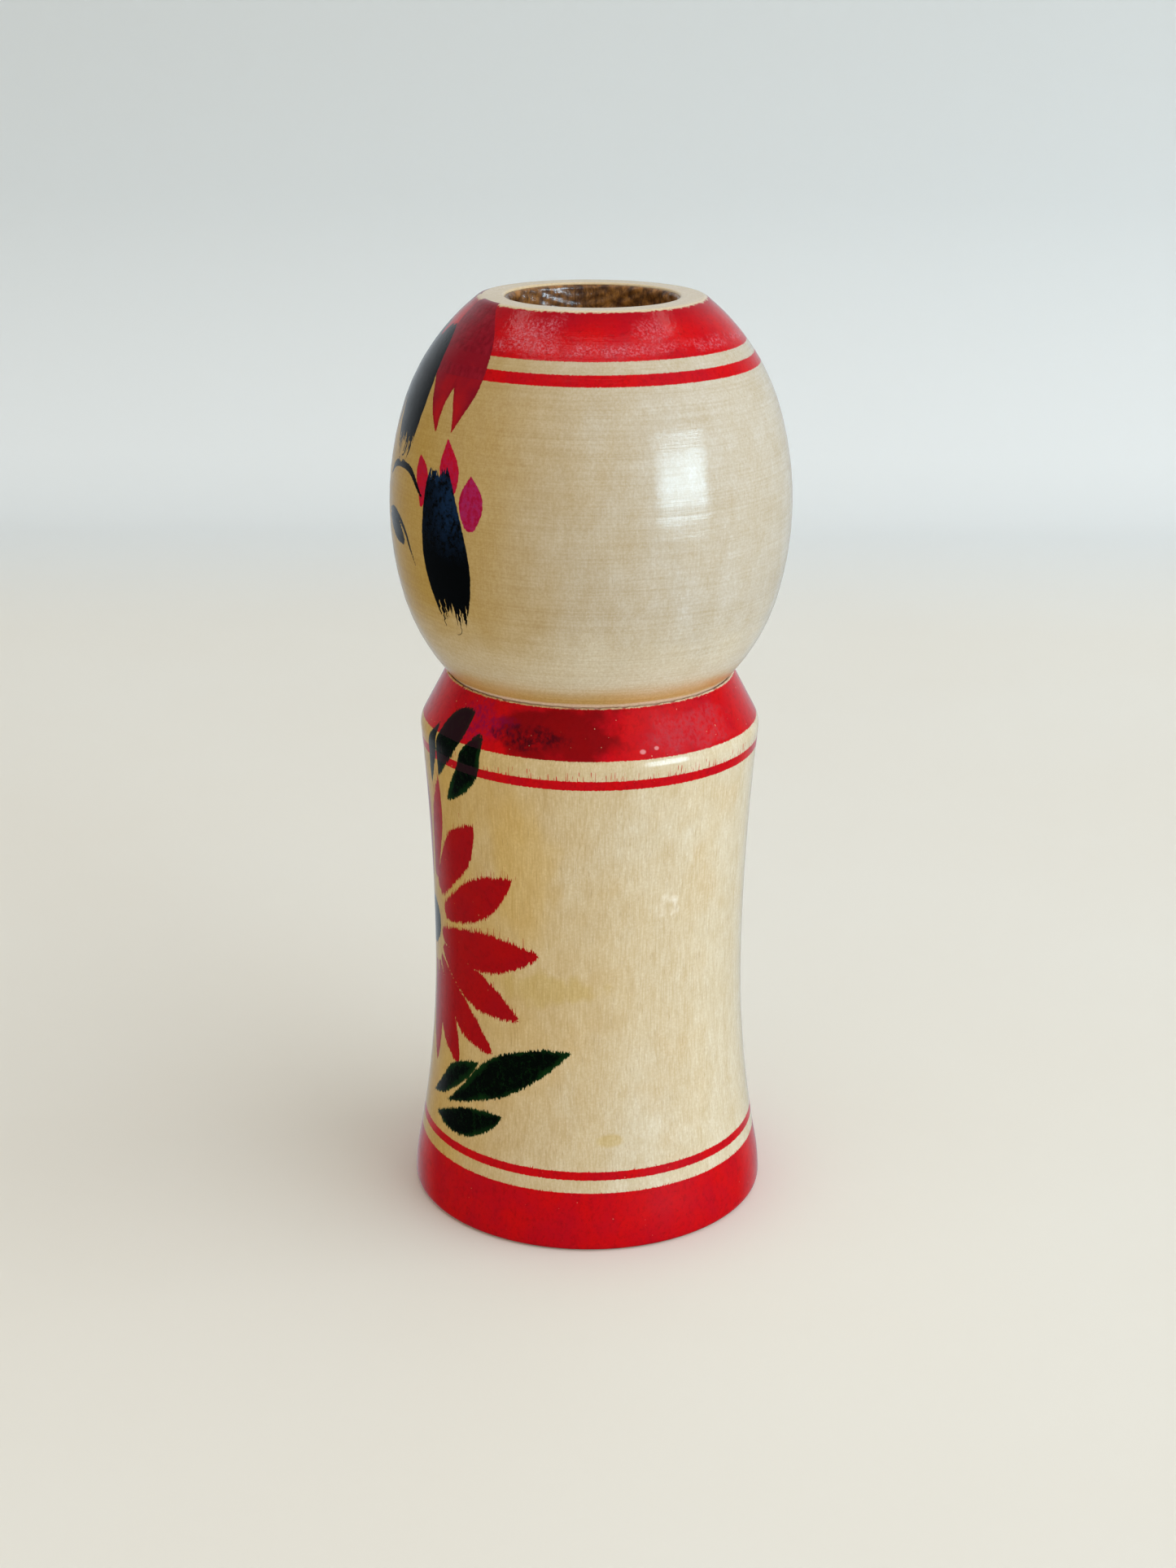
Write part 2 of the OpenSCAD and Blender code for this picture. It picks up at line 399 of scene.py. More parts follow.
HEART = [{"path": [(-3.5, 45.5, 3.3), (0, 45, 3.9), (3.5, 45.5, 3.3)]}]

# Lowest and highest edge of each ring
HEAD_BANDS = [(134.0, TOP_Z - 0.15), (130.9, 132.4)]
BODY_BANDS = [(77.6, NECK_Z - 0.2), (73.3, 74.7), (11.3, 12.6), (-1.0, 9.3)]


# ---------------------------------------------------------------- node helpers


class Nodes:
    """Short ways to add nodes to a material. A value is a number, a colour or another node's output."""

    def __init__(self, name):
        self.material = bpy.data.materials.new(name)
        self.material.use_nodes = True
        self.tree = self.material.node_tree
        self.tree.nodes.clear()

    def add(self, kind, inputs=(), output=0, **settings):
        node = self.tree.nodes.new(kind)
        for key, value in settings.items():
            setattr(node, key, value)
        for key, value in dict(inputs).items():
            self.feed(node.inputs[key], value)
        return node.outputs[output]

    def feed(self, socket, value):
        if isinstance(value, bpy.types.NodeSocket):
            self.tree.links.new(value, socket)
        elif isinstance(value, (tuple, list)) and len(value) == 3 and socket.type == "RGBA":
            socket.default_value = (*value, 1)
        else:
            socket.default_value = value

    def math(self, operation, *values, clamp=False):
        return self.add("ShaderNodeMath", enumerate(values), operation=operation, use_clamp=clamp)

    def vector(self, operation, a, b):
        return self.add("ShaderNodeVectorMath", {0: a, 1: b}, operation=operation)

    def dot(self, a, b):
        return self.add("ShaderNodeVectorMath", {0: a, 1: b}, output=1, operation="DOT_PRODUCT")

    def mix(self, factor, a, b, blend="MIX"):
        inputs = {0: factor, 6: a, 7: b}
        return self.add("ShaderNodeMix", inputs, output=2, data_type="RGBA", blend_type=blend)

    def tinted(self, factor, colour, tint):
        """The colour, multiplied by the tint where factor is 1."""
        return self.mix(factor, colour, self.mix(1.0, colour, tint, "MULTIPLY"))

    def span(self, value, low, high, to_low=0.0, to_high=1.0, smooth=False):
        """The value's place from low to high, brought to the range from to_low to to_high and kept in it."""
        kind = "SMOOTHSTEP" if smooth else "LINEAR"
        inputs = {"Value": value, "From Min": low, "From Max": high, "To Min": to_low, "To Max": to_high}
        return self.add("ShaderNodeMapRange", inputs, interpolation_type=kind)

    def noise(self, vector, scale, detail=2.0, roughness=0.5, distortion=0.0):
        inputs = {"Vector": vector, "Scale": scale, "Detail": detail, "Roughness": roughness,
                  "Distortion": distortion}
        return self.add("ShaderNodeTexNoise", inputs)

    def stretched(self, x, y, z, shift=(0, 0, 0)):
        """Place on the piece in millimetres, scaled along each axis."""
        place = self.add("ShaderNodeTexCoord", output="Object")
        inputs = {"Vector": place, "Scale": (x / MM, y / MM, z / MM), "Location": shift}
        return self.add("ShaderNodeMapping", inputs)

    def spot(self, centre, radii, seed_vector, wander=0.35):
        """1 at the centre of a soft-edged mark and 0 outside it, with an uneven edge."""
        shifted = self.vector("SUBTRACT", self.stretched(1, 1, 1), centre)
        scaled = self.vector("DIVIDE", shifted, radii)
        distance = self.add("ShaderNodeVectorMath", {0: scaled}, output=1, operation="LENGTH")
        uneven = self.math("MULTIPLY_ADD", self.noise(seed_vector, 0.5, 3), wander * 2, distance)
        return self.span(uneven, 0.5 + wander, 1 + wander, 1, 0, smooth=True)

    def ring(self, centre, radius, width, seed_vector):
        """1 along an uneven broken ring on the surface and 0 off it."""
        shifted = self.vector("SUBTRACT", self.stretched(1, 1, 1), centre)
        distance = self.add("ShaderNodeVectorMath", {0: shifted}, output=1, operation="LENGTH")
        uneven = self.math("MULTIPLY_ADD", self.noise(seed_vector, 1.2, 3), 0.9, distance)
        off = self.math("ABSOLUTE", self.math("SUBTRACT", uneven, radius + 0.45))
        gaps = self.span(self.noise(seed_vector, 2.2, 2), 0.36, 0.60)
        return self.math("MULTIPLY", self.span(off, 0.1, width, 1, 0, smooth=True), gaps)

    def height(self):
        """Height above the table, in millimetres."""
        return self.add("ShaderNodeSeparateXYZ", {0: self.stretched(1, 1, 1)}, output=2)

    def attribute(self, name):
        """The three parts of a vector stored on the mesh."""
        vector = self.add("ShaderNodeAttribute", output="Vector", attribute_name=name)
        return [self.add("ShaderNodeSeparateXYZ", {0: vector}, output=i) for i in range(3)]

    def finish(self, surface):
        out = self.tree.nodes.new("ShaderNodeOutputMaterial")
        self.tree.links.new(surface, out.inputs["Surface"])
        return self.material


def on_surface(angle, z, radius):
    """Point on a turned surface from its angle and height, in millimetres."""
    a = math.radians(angle)
    r = float(radius(np.array(float(z))))
    return (r * math.sin(a), -r * math.cos(a), z)


# ---------------------------------------------------------------- materials

# Partly painted light: the paler wood of the side that faces the window.
SAPWOOD_AND_LIT_SIDE = (0.82, 0.77, 0.655)
HEARTWOOD = (0.73, 0.50, 0.14)
# Painted shade: darker, warmer wood on the face side, away from the window.
FACE_SIDE_SHADE = (0.56, 0.37, 0.095)
HONEY = (0.66, 0.41, 0.10)
YELLOWED = (0.66, 0.50, 0.19)
# Painted bounce light: the lighter wood of the jaw, as if lit from the floor.
JAW_BOUNCE_LIGHT = (0.92, 0.87, 0.74)
RING_MARK = (0.92, 0.88, 0.80)
# Painted light that lifts the shade of the seam between head and body.
SEAM_FILL_LIGHT = (1.0, 0.80, 0.70)
END_GRAIN = (0.86, 0.74, 0.56)
UMBER = (0.30, 0.15, 0.05)

RED = (0.62, 0.0006, 0.0030)
CRIMSON = (0.44, 0.0008, 0.014)
PETAL_RED = (0.27, 0.0008, 0.0015)
MAGENTA = (0.38, 0.003, 0.045)
FADED_MAGENTA = (0.46, 0.020, 0.13)
RIBBON_THICK = (0.27, 0.004, 0.016)
RIBBON_THIN = (0.46, 0.006, 0.012)
RIBBON_DEEP = (0.20, 0.002, 0.012)
RIBBON_OVER_RED = (0.32, 0.008, 0.024)
GREEN_OVER_RED = (0.035, 0.008, 0.016)
INK = (0.0008, 0.0016, 0.0024)
INK_SHEEN = (0.005, 0.022, 0.065)
LEAF = (0.003, 0.030, 0.004)
LEAF_DARK = (0.0003, 0.0025, 0.0008)

# Painted sheen: lighter specks where the wax would reflect light.
PAINTED_SHEEN = (0.66, 0.20, 0.26)
# Painted highlight: the glint of a bubble in the wax.
BUBBLE_GLINT = (0.86, 0.42, 0.44)
STAIN_RED = (0.19, 0.0006, 0.002)
STAIN_VIOLET = (0.20, 0.002, 0.070)
STAIN_BLACK = (0.030, 0.001, 0.006)
RIM_RED = (0.34, 0.0008, 0.010)

# Colours that the one under them is multiplied by
CLOUD_TINT = (0.86, 0.79, 0.66)
GROWTH_TINT = (0.85, 0.78, 0.66)
FIBRE_TINT = (0.80, 0.72, 0.58)
LATHE_TINT = (0.88, 0.83, 0.74)
POOLED_TINT = (0.62, 0.62, 0.66)

# The block's paler sapwood lies toward this angle from the face. That side faces the window, so its paleness
# is partly painted light, and the warmer wood opposite it is partly painted shade.
SAPWOOD_AND_LIT_SIDE_TURN = 146.0


def wood_colour(n, shade, grain, lathe_lines, marks):
    """Pale close-grained wood, warmer away from its sapwood side, with clouds, with fibres and pores along
    the axis, and with the lathe's fine lines round it. The sapwood side faces the window: its paleness is
    partly painted light, and the warmth opposite it partly painted shade."""
    a = math.radians(SAPWOOD_AND_LIT_SIDE_TURN)
    side = n.dot(n.stretched(1, 1, 1), (math.sin(a) / WAIST_R, -math.cos(a) / WAIST_R, 0))
    blotch = n.noise(n.stretched(0.07, 0.07, 0.04), 1, 3, 0.55, 0.4)
    side = n.math("ADD", side, n.span(blotch, 0.25, 0.75, -0.3, 0.3))
    # Partly painted light and shade: paler on the window side, warmer and darker toward the face.
    colour = n.mix(1.0, n.mix(n.span(side, -0.75, 0.95), HEARTWOOD, SAPWOOD_AND_LIT_SIDE), shade, "MULTIPLY")
    cloud = n.noise(n.stretched(0.35, 0.35, 0.22, (7, 1, 4)), 1, 4, 0.6)
    colour = n.tinted(n.span(cloud, 0.32, 0.68, 0.60, 0), colour, CLOUD_TINT)
    growth = n.noise(n.stretched(0.45, 0.15, 0.012, (3, 9, 0)), 1, 4, 0.55, 0.6)
    colour = n.tinted(n.span(growth, 0.5, 0.72, 0, 0.35 * grain), colour, GROWTH_TINT)
    for tint, strength, mask in marks(n):
        colour = n.mix(n.math("MULTIPLY", mask, strength), colour, tint)
    fibre = n.noise(n.stretched(3.8, 3.8, 0.34), 1, 3, 0.6)
    darker = n.mix(1.0, colour, FIBRE_TINT, "MULTIPLY")
    colour = n.mix(n.span(fibre, 0.32, 0.68, 0.85 * grain, 0), colour, darker)
    pores = n.noise(n.stretched(6.0, 6.0, 0.55, (5, 1, 2)), 1, 1)
    colour = n.mix(n.span(pores, 0.62, 0.78, 0, 0.40 * grain), colour, UMBER)
    mottle = n.noise(n.stretched(2.4, 2.4, 2.8, (1, 6, 2)), 1, 3, 0.7)
    colour = n.mix(n.span(mottle, 0.36, 0.62, 0.58, 0), colour, darker)
    rings = n.noise(n.stretched(0.05, 0.05, 3.4), 1, 3, 0.7)
    colour = n.tinted(n.span(rings, 0.38, 0.70, 0, lathe_lines), colour, LATHE_TINT)
    return colour, fibre, rings


def dye_edge(n, depth, lean, bleed, ticks):
    """How much dye there is: the stroke's edge, run a little along the grain, with ticks that creep up it."""
    grain = n.noise(n.stretched(4.2, 4.2, 0.12, (8, 4, 0)), 1, 2, 0.7)
    crept = n.noise(n.stretched(7.5, 7.5, 0.03, (2, 7, 0)), 1, 0)
    reach = n.math("MULTIPLY", n.span(grain, 0.36, 0.66, -0.5, 1.0), n.math("ABSOLUTE", lean))
    reach = n.math("MULTIPLY", reach, bleed)
    tick = n.math("MULTIPLY", n.span(crept, 0.67, 0.80), n.math("MAXIMUM", lean, 0.0))
    moved = n.math("ADD", n.math("MULTIPLY_ADD", tick, ticks, reach), depth)
    tooth = n.noise(n.stretched(5, 5, 2.2), 1, 2)
    moved = n.math("ADD", moved, n.span(tooth, 0.2, 0.8, -0.08, 0.08))
    return n.span(moved, -0.05, 0.06, smooth=True)


def red_dye(n, tone, cloud, speck, fine, stains_and_sheen):
    """Red of the rings and petals. The dye pools where the brush slowed, and stained marks, painted sheen and
    painted glints lie in it.
    """
    red = n.mix(n.span(cloud, 0.38, 0.66, 0, 0.55), RED, CRIMSON)
    red = n.mix(n.span(n.math("ABSOLUTE", tone), 0, 0.3, 0.5, 0), red, PETAL_RED)
    red = n.mix(tone, red, n.mix(n.span(speck, 0.40, 0.62), MAGENTA, FADED_MAGENTA))
    red = n.tinted(n.span(speck, 0.50, 0.74, 0, 0.75), red, POOLED_TINT)
    red = n.tinted(n.span(fine, 0.54, 0.76, 0, 0.55), red, POOLED_TINT)
    for tint, strength, mask in stains_and_sheen(n, speck):
        red = n.mix(n.math("MULTIPLY", mask, strength), red, tint)
    return red


def ribbon_dye(n, depth, along, cloud, red_cover):
    """Ribbons thin out along the stroke. They are brushed over the rings, so the dye is doubled there."""
    wash = n.math("ADD", along, n.span(cloud, 0.3, 0.7, -0.25, 0.25))
    single = n.mix(n.span(wash, 0.55, 0.95), RIBBON_THICK, RIBBON_THIN)
    single = n.mix(n.math("MULTIPLY", n.span(depth, 0.7, 0.0), 0.5), single, RIBBON_DEEP)
    brushed = n.noise(n.stretched(1.2, 1.2, 0.25, (5, 2, 2)), 1, 3, 0.6)
    double = n.mix(n.span(brushed, 0.35, 0.68), RIBBON_DEEP, RIBBON_OVER_RED)
    return n.mix(n.math("MULTIPLY", red_cover, 0.85), single, double)


def leaf_dye(n, depth, cloud, speck, red_cover):
    """Nearly black where the dye pooled, greener toward the edges."""
    pooled = n.span(n.math("ADD", depth, n.span(cloud, 0.3, 0.7, -0.7, 0.7)), -0.3, 0.9, smooth=True)
    green = n.mix(pooled, LEAF, LEAF_DARK)
    green = n.mix(n.span(speck, 0.5, 0.75, 0, 0.5), green, LEAF)
    return n.mix(n.math("MULTIPLY", red_cover, 0.6), green, GREEN_OVER_RED)


def bristles(n, across, along, wet):
    """1 where the brush left ink, and 0 between its bristles, which part at a stroke's dry ends."""
    place = n.add("ShaderNodeCombineXYZ", {0: across, 1: 0.0, 2: n.math("MULTIPLY", along, 0.6)})
    parted = n.math("SUBTRACT", wet, n.span(n.noise(place, 2.1, 1, 0.6), 0.32, 0.66, -0.05, 0.92))
    return n.span(parted, -0.03, 0.05)


def ink(n, across, along, tone):
    """Black, with a worn bluish sheen in patches over the first part of a stroke that has a tone."""
    patchy = n.noise(n.stretched(1.3, 1.3, 1.1, (3, 3, 3)), 1, 4, 0.75)
    first_part = n.span(along, 0.28, 0.62, 1, 0, smooth=True)
    worn = n.math("MULTIPLY", n.span(patchy, 0.36, 0.60, smooth=True), first_part)
    worn = n.math("MULTIPLY", worn, n.span(across, -2.0, 1.5, 0.25, 1))
    return n.mix(n.math("MULTIPLY", worn, tone), INK, INK_SHEEN)


def waxed(n, colour, painted, fibre, rings, fine, lathe_lines):
    """Thin wax over the wood, with the fibres and the lathe's lines under it, and pebbled on the crown."""
    uneven = n.noise(n.stretched(0.6, 0.6, 0.6, (6, 6, 6)), 1, 3)
    rough = n.math("ADD", n.span(uneven, 0.3, 0.7, 0.36, 0.50), n.math("MULTIPLY", painted, -0.04))
    relief = n.math("MULTIPLY_ADD", fibre, 0.5, n.math("MULTIPLY", rings, 2.0 * lathe_lines))
    relief = n.math("MULTIPLY_ADD", fine, 0.6, relief)
    bump = n.add("ShaderNodeBump", {"Strength": 0.30, "Distance": 0.05 * MM, "Height": relief})
    peel = n.noise(n.stretched(1.1, 1.1, 2.6, (9, 2, 4)), 1, 3)
    coat_relief = n.math("ADD", peel, n.math("MULTIPLY", rings, 3.5 * lathe_lines))
    pebbles = n.noise(n.stretched(1.7, 1.7, 1.7, (2, 8, 8)), 1, 3)
    pebbles = n.math("MULTIPLY", pebbles, n.span(n.height(), 132, 134))
    coat_relief = n.math("MULTIPLY_ADD", pebbles, 3.0, coat_relief)
    coat_bump = n.add("ShaderNodeBump", {"Strength": 0.26, "Distance": 0.05 * MM, "Height": coat_relief})
    return n.add("ShaderNodeBsdfPrincipled", {
        "Base Color": colour, "Roughness": rough, "Normal": bump, "Specular IOR Level": 0.03,
        "Coat Weight": 0.9, "Coat Roughness": 0.14, "Coat IOR": 1.32, "Coat Normal": coat_bump})


def turned_wood(name, shade, grain, lathe_lines, bleed, ticks, marks, stains_and_sheen, wear):
    """Turned wood with its dyes, laid one over the other as red, ribbons, leaves and ink, under wax."""
    n = Nodes(name)
    colour, fibre, rings = wood_colour(n, shade, grain, lathe_lines, marks)
    cloud = n.noise(n.stretched(0.22, 0.22, 0.16, (1, 2, 3)), 1, 4, 0.6)
    speck = n.noise(n.stretched(1.5, 1.5, 1.2, (4, 4, 9)), 1, 3, 0.7)
    fine = n.noise(n.stretched(3.2, 3.2, 2.8, (9, 4, 1)), 1, 2, 0.7)

    depth, _, _ = n.attribute("red")
    lean, _, tone = n.attribute("red_run")
    unworn = n.math("SUBTRACT", 1.0, wear(n))
    torn = n.math("MULTIPLY", n.span(tone, -1, 0, 0.12, 1), bleed)
    red_cover = n.math("MULTIPLY", dye_edge(n, depth, lean, torn, ticks(n)), unworn, clamp=True)
    colour = n.mix(red_cover, colour, red_dye(n, tone, cloud, speck, fine, stains_and_sheen))

    depth, _, _ = n.attribute("ribbon")
    lean, along, _ = n.attribute("ribbon_run")
    ribbon_cover = dye_edge(n, depth, lean, bleed * 0.4, 0.0)
    colour = n.mix(ribbon_cover, colour, ribbon_dye(n, depth, along, cloud, red_cover))

    depth, _, _ = n.attribute("green")
    lean, _, _ = n.attribute("green_run")
    green_cover = dye_edge(n, depth, lean, bleed * 0.8, 0.12)
    colour = n.mix(green_cover, colour, leaf_dye(n, depth, cloud, speck, red_cover))

    depth, across, wet = n.attribute("black")
    lean, along, tone = n.attribute("black_run")
    ink_edge = dye_edge(n, depth, lean, bleed * 0.4, 0.0)
    ink_cover = n.math("MULTIPLY", ink_edge, bristles(n, across, along, wet))
    colour = n.mix(ink_cover, colour, ink(n, across, along, tone))

    painted = n.math("MAXIMUM", red_cover, n.math("MAXIMUM", green_cover, ink_cover))
    return n.finish(waxed(n, colour, painted, fibre, rings, fine, lathe_lines))


def no_ticks(n):
    return 0.0


def body_ticks(n):
    """How many mm dye creeps up the grain: furthest from the ring under the shoulder, hardly at the foot."""
    return n.span(n.height(), 15, 72, 0.3, 2.6)


def head_marks(n):
    """Painted shade as darker, warmer wood toward the face; painted bounce light as a lighter jaw; honey at
    the neck, and painted light just above it that lifts the shade of the seam; end grain at the rim.
    """
    z = n.height()
    blotch = n.noise(n.stretched(0.12, 0.12, 0.25, (5, 5, 5)), 1, 3)
    # Painted bounce light from the floor: the jaw is lighter.
    jaw_bounce_light = n.span(n.math("MULTIPLY_ADD", blotch, 8.0, z), 92, 104, 1, 0, smooth=True)
    neck = n.span(n.math("MULTIPLY_ADD", blotch, 2.0, z), 86.0, 90.5, 1, 0, smooth=True)
    # Painted light: a lighter band just above the neck that cancels the shade in the seam.
    seam_fill_light = n.span(n.math("MULTIPLY_ADD", blotch, 0.4, z), NECK_Z + 0.5, NECK_Z + 1.0, 1, 0, smooth=True)
    end_grain = n.span(z, TOP_Z - 0.45, TOP_Z - 0.1)
    # Painted shade on the face side, away from the window: darker, warmer wood.
    face_side_shade = n.span(n.dot(n.stretched(1, 1, 1), (0, -1, 0)), 6, 28)
    return [(FACE_SIDE_SHADE, 0.78, face_side_shade), (JAW_BOUNCE_LIGHT, 0.55, jaw_bounce_light), (HONEY, 0.85, neck),
            (SEAM_FILL_LIGHT, 0.85, seam_fill_light), (END_GRAIN, 0.92, end_grain)]


def body_marks(n):
    """Uneven ageing: honey clouds, a yellow stain and a patch, a warm streak, and the mark of a wet ring."""
    wander = n.stretched(0.5, 0.5, 0.3)
    here = CAMERA_TURN
    low = n.noise(n.stretched(0.09, 0.09, 0.09, (4, 8, 5)), 1, 3)
    stain = n.spot(on_surface(here - 14, 41.5, body_radius), (10, 10, 3.2), wander, 0.9)
    patch = n.spot(on_surface(here + 8, 17.5, body_radius), (2.8, 2.8, 1.3), wander, 0.5)
    streak = n.spot(on_surface(here - 24, 60, body_radius), (7, 7, 16), wander)
    rim = n.ring(on_surface(here + 29, 53.8, body_radius), 1.5, 1.0, wander)
    return [(HONEY, 0.16, n.span(low, 0.52, 0.72, smooth=True)), (YELLOWED, 0.6, stain),
            (YELLOWED, 0.55, patch), (HEARTWOOD, 0.40, streak), (RING_MARK, 0.85, rim)]


def shoulder_stains_and_sheen(n, speck):
    """Ink that ran into the shoulder's red while it was wet: violet beside the face, nearly black further on.
    Painted sheen of the window in the wax, and painted glints of two bubbles, lie on the other side."""
    wander = n.stretched(0.45, 0.45, 0.7)
    here = CAMERA_TURN
    violet = n.spot(on_surface(here - 42, 81, body_radius), (6, 6, 3.6), wander, 0.8)
    deep = n.spot(on_surface(here - 12, 81, body_radius), (17, 11, 5), wander, 0.8)
    black = n.spot(on_surface(here - 22, 80, body_radius), (10, 7, 1.7), wander, 0.9)
    # Painted sheen where the wax would reflect the window.
    painted_sheen = n.spot(on_surface(here + 38, 80.5, body_radius), (9, 9, 4), wander, 0.8)
    speckle = n.span(speck, 0.36, 0.62)
    # Painted highlights: the glints of two bubbles in the wax.
    first_bubble_glint = n.spot(on_surface(here + 18, 78.6, body_radius), (0.55, 0.55, 0.40), wander, 0.3)
    second_bubble_glint = n.spot(on_surface(here + 23, 78.9, body_radius), (0.45, 0.45, 0.35), wander, 0.3)
    return [(BUBBLE_GLINT, 0.6, n.math("MAXIMUM", first_bubble_glint, second_bubble_glint)),
            (STAIN_RED, 0.8, deep),
            (STAIN_VIOLET, 0.6, n.math("MULTIPLY", violet, speckle)),
            (STAIN_BLACK, 0.75, n.math("MULTIPLY", black, speckle)),
            (PAINTED_SHEEN, 0.15, n.math("MULTIPLY", painted_sheen, speckle))]


def crown_rim_and_sheen(n, _):
    """Darker red at the rim, and painted sheen of the lamps above in the wax, in fine specks, low round the
    crown and in two patches.
    """
    wander = n.stretched(0.4, 0.4, 0.4, (6, 3, 2))
    here = CAMERA_TURN
    z = n.height()
    low = n.math("MULTIPLY", n.span(z, 134.2, 135.2, smooth=True), n.span(z, 136.6, 135.4, smooth=True))
    low = n.math("MULTIPLY", low, n.span(n.noise(wander, 0.8, 2), 0.35, 0.60))
    patch = n.spot(on_surface(here - 24, 137.2, head_radius), (5.5, 5.5, 2.6), wander, 0.8)
    far_patch = n.spot(on_surface(here + 24, 137.5, head_radius), (3.5, 3.5, 2), wander, 0.8)
    where = n.math("MAXIMUM", low, n.math("MAXIMUM", patch, n.math("MULTIPLY", far_patch, 0.6)))
    fine = n.noise(n.stretched(2.6, 2.6, 2.6, (7, 7, 1)), 1, 4, 0.8)
    # Painted sheen where the crown's wax would reflect lamps above it.
    painted_sheen = n.math("MULTIPLY", where, n.span(fine, 0.46, 0.64))
    return [(RIM_RED, 0.6, n.span(z, 137.5, 139.5)), (PAINTED_SHEEN, 0.75, painted_sheen)]


def neck_wear(n):
    """Bare fibres along the neck's edge and a few pinholes in the dye."""
    chips = n.noise(n.stretched(1.5, 1.5, 1.2, (2, 2, 6)), 1, 3, 0.8)
    edge = n.math("MULTIPLY_ADD", n.span(chips, 0.35, 0.7), 0.55, n.height())
    pin = n.noise(n.stretched(2.6, 2.6, 2.6, (11, 3, 8)), 1, 0)
    pinned = n.math("MULTIPLY", n.span(pin, 0.86, 0.88), n.span(n.height(), 40, 78, 0.25, 0.8))
    return n.math("MAXIMUM", n.span(edge, NECK_Z + 0.1, NECK_Z + 0.35), pinned, clamp=True)


def rim_wear(n):
    """Bare wood round the rim's edge."""
    chips = n.noise(n.stretched(1.2, 1.2, 1.2, (2, 5, 6)), 1, 3, 0.8)
    edge = n.math("MULTIPLY_ADD", n.span(chips, 0.3, 0.7), 0.35, n.height())
    return n.span(edge, TOP_Z - 0.12, TOP_Z + 0.02)


LACQUER_THICK = (0.085, 0.030, 0.008)
LACQUER_THIN = (0.46, 0.20, 0.045)
LACQUER_STREAK = (0.040, 0.015, 0.005)


def lacquer():
    """Brown gloss coat, brushed thick and lumpy over rough end grain."""
    n = Nodes("brown_lacquer")
    lump = n.noise(n.stretched(0.55, 0.55, 0.45), 1, 5, 0.65, 0.3)
    streak = n.noise(n.stretched(1.6, 1.6, 0.5, (3, 1, 7)), 1, 4, 0.7)
    colour = n.mix(n.span(lump, 0.38, 0.62), LACQUER_THICK, LACQUER_THIN)
    colour = n.mix(n.span(streak, 0.48, 0.66, 0, 0.7), colour, LACQUER_STREAK)
    rough = n.span(streak, 0.3, 0.7, 0.30, 0.55)
    height = n.math("MULTIPLY_ADD", streak, 0.7, lump)
    bump = n.add("ShaderNodeBump", {"Strength": 0.5, "Distance": 0.3 * MM, "Height": height})
    return n.finish(n.add("ShaderNodeBsdfPrincipled", {
        "Base Color": colour, "Roughness": rough, "Normal": bump, "Specular IOR Level": 0.3,
        "Coat Weight": 0.9, "Coat Roughness": 0.12, "Coat Normal": bump}))


PALE_FIBRE = (0.88, 0.68, 0.55)
DYED_FIBRE = (0.60, 0.06, 0.05)


def raw_fibre():
    """Splinters, some bare and some with dye on them."""
    n = Nodes("raw_fibre")
    dyed = n.noise(n.stretched(2, 2, 2), 1, 2)
    colour = n.mix(n.span(dyed, 0.35, 0.65), PALE_FIBRE, DYED_FIBRE)
    return n.finish(n.add("ShaderNodeBsdfPrincipled", {"Base Color": colour, "Roughness": 0.7}))


# ---------------------------------------------------------------- the pieces


def body_relief(angle, r, z):
    """Torn fibres along the neck's edge, and faint turning marks under the foot."""
    edge = np.clip((z - (NECK_Z - 0.5)) / 0.5, 0, 1) * (r > NECK_R - 1.0)
    torn = ragged(angle, 40, 190, 14, 3)
    chip = np.clip(ragged(angle, 9, 60, 10, 4) - 0.62, 0, 1) * 1.2
    z = z - edge * (0.12 * torn + chip * 0.4)
    under = (z < 0.01) & (r < BASE_R - 1.5)
    z = z + under * 0.05 * (1 + np.sin(r * 2.4))
    return r, z


def head_relief(angle, r, z):
    """Slight unevenness left by the lathe tool."""
    skin = (z > NECK_Z) & (z < TOP_Z - 0.5) & (r > BORE_R + 1)
    r = r - skin * (0.03 * ragged(z / 11, 4, 40, 8, 5) + 0.04 * ragged(angle, 1, 7, 5, 6))
    return r, z


def coat_relief(angle, r, z):
    """Lumps and runs in the coat, on the side that shows."""
    wall = (r < BORE_R - 0.2) & (z > BORE_FLOOR_Z + COAT_T + 2) & (z < COAT_TOP_Z - 0.3)
    lumps = ragged(angle + z * 0.013, 5, 48, 12, 8) * ragged(z / 9 + np.sin(angle * 3) * 0.2, 3, 60, 10, 9)
    return r - wall * 0.35 * lumps, z


body, body_place = lathe("turned_body", body_outline(), columns(96, 0.7, 1.45), body_relief)
surface = Surface(body, body_place, body_radius, 0.0, NECK_Z)
surface.paint("red", FLOWER, BODY_BANDS)
surface.paint("ribbon", [])
surface.paint("green", LEAVES + HEART)
surface.paint("black", [])
body.data.materials.append(turned_wood(
    "body_wood", shade=(1, 1, 1), grain=1.0, lathe_lines=0.05, bleed=0.46, ticks=body_ticks, marks=body_marks,
    stains_and_sheen=shoulder_stains_and_sheen, wear=neck_wear))
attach(body, "body")
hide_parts("body")

head, head_place = lathe("turned_head", head_outline(), columns(64, 0.5, 1.35), head_relief)
surface = Surface(head, head_place, head_radius, SEAT_Z, TOP_Z)
surface.paint("red", HAIR_PETALS + LIPS, HEAD_BANDS)
surface.paint("ribbon", RIBBONS)
surface.paint("green", [])
surface.paint("black", BLACK)
head.data.materials.append(turned_wood(
    "head_wood", shade=(0.83, 0.85, 0.93), grain=0.50, lathe_lines=0.70, bleed=0.10, ticks=no_ticks,
    marks=head_marks, stains_and_sheen=crown_rim_and_sheen, wear=rim_wear))
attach(head, "head")
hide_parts("head")

